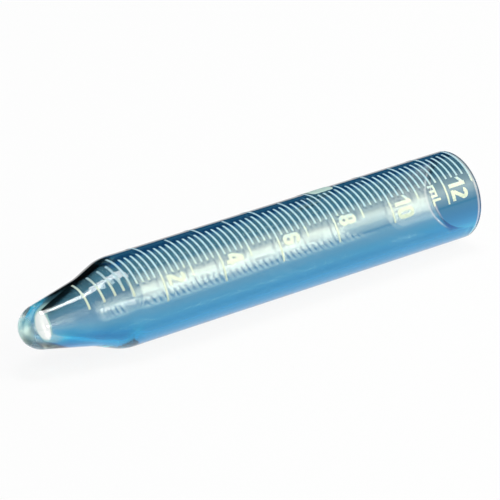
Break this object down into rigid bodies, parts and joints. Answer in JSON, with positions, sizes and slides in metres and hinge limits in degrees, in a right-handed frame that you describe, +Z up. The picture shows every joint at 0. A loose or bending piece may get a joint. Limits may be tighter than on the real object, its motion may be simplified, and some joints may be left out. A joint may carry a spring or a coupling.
{
  "type": "graduated conical test tube",
  "caption": "Clear glass centrifuge tube lying on its side, with a round thick tip, a short cone, a straight barrel, an open fire-polished mouth and a white scale in millilitres.",
  "frame": {"origin": "on the surface that the tube lies on, under the middle of its length", "axes": "+X along the tube's axis from the round tip to the open mouth, +Z up; the scale faces -Y and up"},
  "size_m": [0.1004, 0.017, 0.017],
  "materials": {
    "tube_glass": "smooth, fire-polished, showing a blue cast",
    "scale_enamel": "white fired-on enamel, satin",
    "spot_enamel": "matt white enamel for writing on"
  },
  "bodies": {
    "root": {"glass_tube": "tube_glass", "cone_lines": "scale_enamel", "fine_lines": "scale_enamel", "odd_ml_lines": "scale_enamel", "even_ml_lines": "scale_enamel", "numeral_2": "scale_enamel", "numeral_4": "scale_enamel", "numeral_6": "scale_enamel", "numeral_8": "scale_enamel", "numeral_10": "scale_enamel", "numeral_12": "scale_enamel", "unit_mark": "scale_enamel", "write_on_spot": "spot_enamel"}
  },
  "joints": []
}
